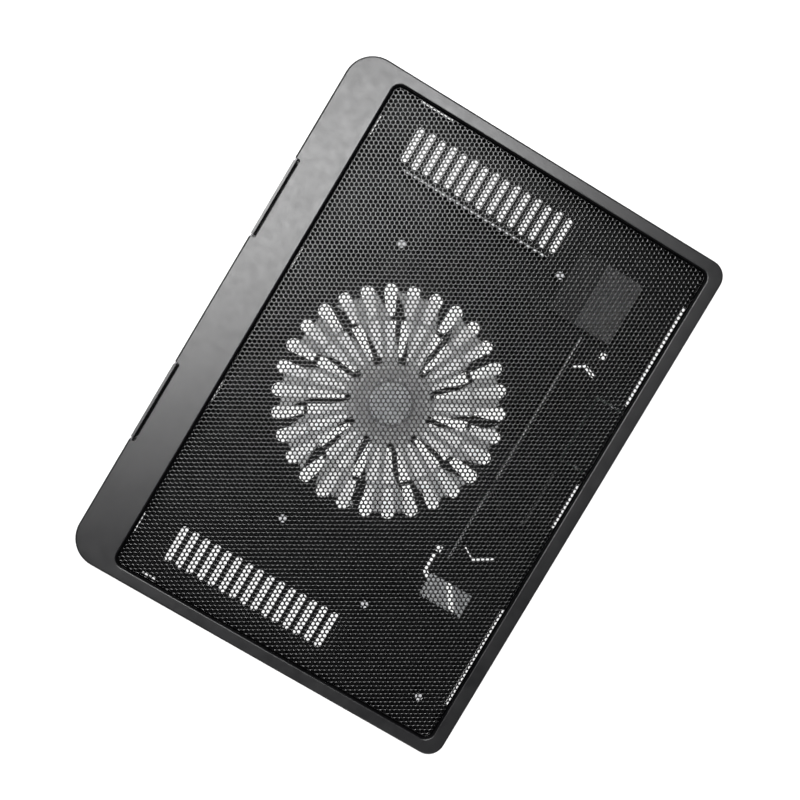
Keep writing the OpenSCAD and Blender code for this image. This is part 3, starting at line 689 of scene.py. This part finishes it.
def socket_windows(obj):
    """Cuts a window through the back wall round each socket."""
    for low, high in socket_boxes:
        low = (low.x - WINDOW_GAP, PAD_HALF_D - WINDOW_D, low.z - WINDOW_GAP)
        high = (high.x + WINDOW_GAP, PAD_HALF_D + CUT_PAST, high.z + WINDOW_GAP)
        combine(obj, box_object("window", low, high), "DIFFERENCE")


def frame_fixings():
    """Hooks, screw bosses and the stiffening rib under the front strip, as one mesh."""
    bm = bmesh.new()
    boxes = [((-RIB_HALF, RIB_Y, SHEET_TOP - RIB_DROP), (RIB_HALF, RIB_Y + RIB_T, SHEET_TOP + 0.2 * MM))]
    for x in HOOK_X:
        x0, x1 = x - HOOK_HALF, x + HOOK_HALF
        foot = frame_low.z
        boxes.append(((x0, HOOK_Y, foot), (x1, HOOK_Y + HOOK_T, SHEET_TOP + 0.1 * MM)))
        boxes.append(((x0, HOOK_Y, foot), (x1, HOOK_Y + HOOK_TOE_D, foot + HOOK_TOE_T)))
    for low, high in boxes:
        centre = (Vector(low) + Vector(high)) / 2
        size = Vector(high) - Vector(low)
        place = Matrix.Translation(centre) @ Matrix.Diagonal((*size, 1))
        bmesh.ops.create_cube(bm, size=1, matrix=place)
    for x in SCREW_X:
        place = Matrix.Translation((x, SCREW_Y, (BOSS_LOW + SHEET_TOP) / 2))
        bmesh.ops.create_cone(bm, cap_ends=True, segments=BOSS_SIDES, radius1=BOSS_R, radius2=BOSS_R,
                              depth=SHEET_TOP - BOSS_LOW, matrix=place)
    mesh = bpy.data.meshes.new("frame_fixings")
    bm.to_mesh(mesh)
    bm.free()
    obj = bpy.data.objects.new("frame_fixings", mesh)
    bpy.context.scene.collection.objects.link(obj)
    return obj


def top_frame(material):
    obj = frame_skin()
    stopper_blocks(obj)
    socket_windows(obj)
    obj.data.polygons.foreach_set("use_smooth", [True] * len(obj.data.polygons))
    obj.data.set_sharp_from_angle(angle=SMOOTH_BELOW)
    obj.modifiers.new("flats", "WEIGHTED_NORMAL").keep_sharp = True
    dress(obj, material)
    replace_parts(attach(obj, "base"), "top_frame")
    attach(dress(frame_fixings(), material), "base")


# ---------- smaller pieces ----------

# How wide the edges of the smaller nodes are rounded, in millimetres
SOFT_EDGES = {"stopper_left": 0.4, "stopper_right": 0.4, "foot_left": 0.35, "foot_right": 0.35,
              "foot_tip_left": 0.3, "foot_tip_right": 0.3, "rubber_feet": 0.25, "case_screws": 0.12,
              "fan_screws": 0.12, "board_screws": 0.1, "hub_cap": 0.08, "usb_tongues": 0.15,
              "usb_socket_left": 0.1, "usb_socket_right": 0.1, "fan_base": 0.3, "usb_board": 0.1}


def soft_edges():
    for name, width in SOFT_EDGES.items():
        soften(frame["nodes"][name], width * MM)


# ---------- stage ----------

# The camera stands about where the photograph's did. Up is the direction of the picture's top in the XY plane
CAMERA_AT = Vector((-28.39, -75.46, 866.79)) * MM
CAMERA_AIM = Vector((-4.99, -2.38, 26.0)) * MM
CAMERA_UP = math.radians(-149.15)
LENS = 63
SENSOR = 36

# Each light: its place, what it is aimed at, its two sizes and its power in watts
LIGHTS = {
    "key": ((-0.16, -0.2, 1.2), (-0.05, -0.03, 0), (0.75, 0.34), 32),
    "side": ((-1.1, -0.9, 0.55), (0, 0, 0), (0.9, 0.5), 14),
    "fill": ((0.9, 0.5, 1.0), (0, 0, 0), (0.7, 0.7), 5),
}

# The world's strength in the picture itself, from below and from above, and the heights between the two
BACKDROP = 1.12
FROM_BELOW = 0.75
FROM_ABOVE = 0.06
BELOW_ENDS = -0.05
ABOVE_STARTS = 0.1

# The floor's size, how much of it is solid near the pad, and the distances over which it fades out
FLOOR_HALF = 3.0
FLOOR_SOLID = 0.22
FADE_STARTS = 0.3
FADE_ENDS = 1.6


def camera():
    data = bpy.data.cameras.new("camera")
    data.lens = LENS
    data.sensor_width = SENSOR
    obj = bpy.data.objects.new("camera", data)
    bpy.context.scene.collection.objects.link(obj)
    back = (CAMERA_AT - CAMERA_AIM).normalized()
    up = Vector((math.cos(CAMERA_UP), math.sin(CAMERA_UP), 0))
    right = up.cross(back).normalized()
    up = back.cross(right)
    obj.matrix_world = Matrix.Translation(CAMERA_AT) @ Matrix((right, up, back)).transposed().to_4x4()
    bpy.context.scene.camera = obj


def area_light(name, at, aim, size, power):
    data = bpy.data.lights.new(name, "AREA")
    data.shape = "RECTANGLE"
    data.size, data.size_y = size
    data.energy = power
    obj = bpy.data.objects.new(name, data)
    obj.location = at
    obj.rotation_mode = "QUATERNION"
    obj.rotation_quaternion = (Vector(aim) - Vector(at)).to_track_quat("-Z", "Y")
    obj.visible_camera = False
    bpy.context.scene.collection.objects.link(obj)


def world():
    """White to the camera, bright from below as over a white table, and dim from above."""
    studio = bpy.data.worlds.new("studio")
    bpy.context.scene.world = studio
    studio.use_nodes = True
    nodes, links = studio.node_tree.nodes, studio.node_tree.links
    background = nodes["Background"]
    coords = nodes.new("ShaderNodeTexCoord")
    split = nodes.new("ShaderNodeSeparateXYZ")
    links.new(coords.outputs["Generated"], split.inputs["Vector"])
    below = nodes.new("ShaderNodeMapRange")
    below.inputs["From Min"].default_value = BELOW_ENDS
    below.inputs["From Max"].default_value = ABOVE_STARTS
    below.inputs["To Min"].default_value = FROM_BELOW
    below.inputs["To Max"].default_value = FROM_ABOVE
    links.new(split.outputs["Z"], below.inputs["Value"])
    path = nodes.new("ShaderNodeLightPath")
    mix = nodes.new("ShaderNodeMix")
    mix.inputs["B"].default_value = BACKDROP
    links.new(path.outputs["Is Camera Ray"], mix.inputs["Factor"])
    links.new(below.outputs["Result"], mix.inputs["A"])
    links.new(mix.outputs["Result"], background.inputs["Strength"])
    background.inputs["Color"].default_value = (1, 1, 1, 1)


def floor():
    """Pale, mostly see-through floor that takes a faint shadow, fades outwards and is clear from below."""
    corners = [(x * FLOOR_HALF, y * FLOOR_HALF, 0) for x, y in ((-1, -1), (1, -1), (1, 1), (-1, 1))]
    obj = mesh_object("floor", corners, [(0, 1, 2, 3)], smooth=False)
    material = bpy.data.materials.new("floor_pale")
    material.use_nodes = True
    nodes, links = material.node_tree.nodes, material.node_tree.links
    nodes.clear()
    out = nodes.new("ShaderNodeOutputMaterial")
    diffuse = nodes.new("ShaderNodeBsdfDiffuse")
    diffuse.inputs["Color"].default_value = (0.9, 0.9, 0.9, 1)
    clear = nodes.new("ShaderNodeBsdfTransparent")
    mix = nodes.new("ShaderNodeMixShader")
    coords = nodes.new("ShaderNodeTexCoord")
    length = nodes.new("ShaderNodeVectorMath")
    length.operation = "LENGTH"
    fade = nodes.new("ShaderNodeMapRange")
    fade.inputs["From Min"].default_value = FADE_STARTS
    fade.inputs["From Max"].default_value = FADE_ENDS
    fade.inputs["To Min"].default_value = FLOOR_SOLID
    fade.inputs["To Max"].default_value = 0.0
    links.new(coords.outputs["Object"], length.inputs[0])
    links.new(length.outputs["Value"], fade.inputs["Value"])
    side = nodes.new("ShaderNodeNewGeometry")
    from_above = nodes.new("ShaderNodeMath")
    from_above.operation = "SUBTRACT"
    from_above.inputs[0].default_value = 1.0
    links.new(side.outputs["Backfacing"], from_above.inputs[1])
    share = nodes.new("ShaderNodeMath")
    share.operation = "MULTIPLY"
    links.new(fade.outputs["Result"], share.inputs[0])
    links.new(from_above.outputs["Value"], share.inputs[1])
    links.new(share.outputs["Value"], mix.inputs["Fac"])
    links.new(clear.outputs["BSDF"], mix.inputs[1])
    links.new(diffuse.outputs["BSDF"], mix.inputs[2])
    links.new(mix.outputs["Shader"], out.inputs["Surface"])
    dress(obj, material)


def stage():
    bpy.context.scene.view_settings.view_transform = "Standard"
    camera()
    world()
    floor()
    for name, light in LIGHTS.items():
        area_light(name, *light)


# ---------- build ----------

def dress_nodes(materials):
    """Every CAD node gets the material of its slot."""
    slots = {row["node"]: row["material_slot"] for row in frame["record"]["subparts"]}
    for name, obj in frame["nodes"].items():
        dress(obj, materials[slots[name]])


def main():
    stage()
    materials = slot_materials()
    dress_nodes(materials)
    soft_edges()
    perforated_sheet(materials["sheet_paint"])
    top_frame(materials["frame_plastic"])


main()
